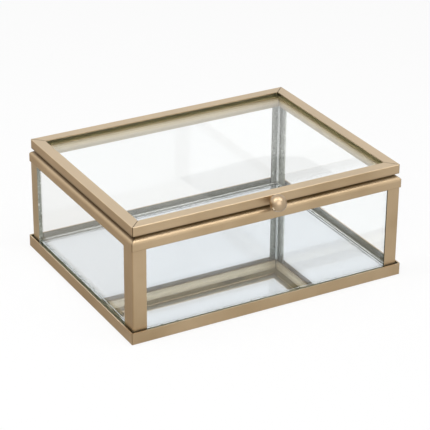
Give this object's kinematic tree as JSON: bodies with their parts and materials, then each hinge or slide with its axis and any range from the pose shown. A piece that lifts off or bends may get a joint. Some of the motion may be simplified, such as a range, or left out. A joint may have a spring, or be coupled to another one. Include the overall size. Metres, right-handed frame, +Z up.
{
  "type": "glass casket box",
  "caption": "Glass keepsake box: brass strip frame, clear glass walls, mirror floor and a glass lid that is hinged at the back and lifted by a ball knob.",
  "frame": {"origin": "centre of the box's underside", "axes": "+X to the right along the width, -Y towards the front with the knob, +Z up"},
  "size_m": [0.16, 0.1363, 0.0663],
  "materials": {
    "brass": "satin champagne gold",
    "knob_brass": "satin champagne gold",
    "pin_brass": "drawn wire",
    "clear_glass": "polished",
    "mirror_glass": "polished",
    "silvering": "silvered",
    "board": "plain fibreboard",
    "felt": "felt",
    "clear_sealant": "clear, glossy",
    "clear_rubber": "clear, soft"
  },
  "bodies": {
    "box": {"base_rail_front": "brass", "top_rail_front": "brass", "wall_pane_front": "clear_glass", "base_rail_back": "brass", "top_rail_back": "brass", "wall_pane_back": "clear_glass", "base_rail_left": "brass", "top_rail_left": "brass", "wall_pane_left": "clear_glass", "base_rail_right": "brass", "top_rail_right": "brass", "wall_pane_right": "clear_glass", "corner_post_front_left": "brass", "corner_post_front_right": "brass", "corner_post_back_left": "brass", "corner_post_back_right": "brass", "hinge_body_leaf_left": "brass", "hinge_pin_left": "pin_brass", "hinge_body_leaf_right": "brass", "hinge_pin_right": "pin_brass", "mirror_glass": "mirror_glass", "mirror_silvering": "silvering", "mirror_board": "board", "base_felt": "felt", "corner_sealant": "clear_sealant"},
    "lid": {"lid_rail_front": "brass", "lid_rail_back": "brass", "lid_rail_left": "brass", "lid_rail_right": "brass", "lid_pane": "clear_glass", "lid_bumpers": "clear_rubber", "knob": "knob_brass", "hinge_lid_leaf_left": "brass", "hinge_lid_leaf_right": "brass"}
  },
  "joints": [
    {"name": "lid_hinge", "type": "hinge", "parent": "box", "child": "lid", "pos_m": [0, 0.06265, 0.05795], "axis": [-1, 0, 0], "range_deg": [0, 105]}
  ]
}
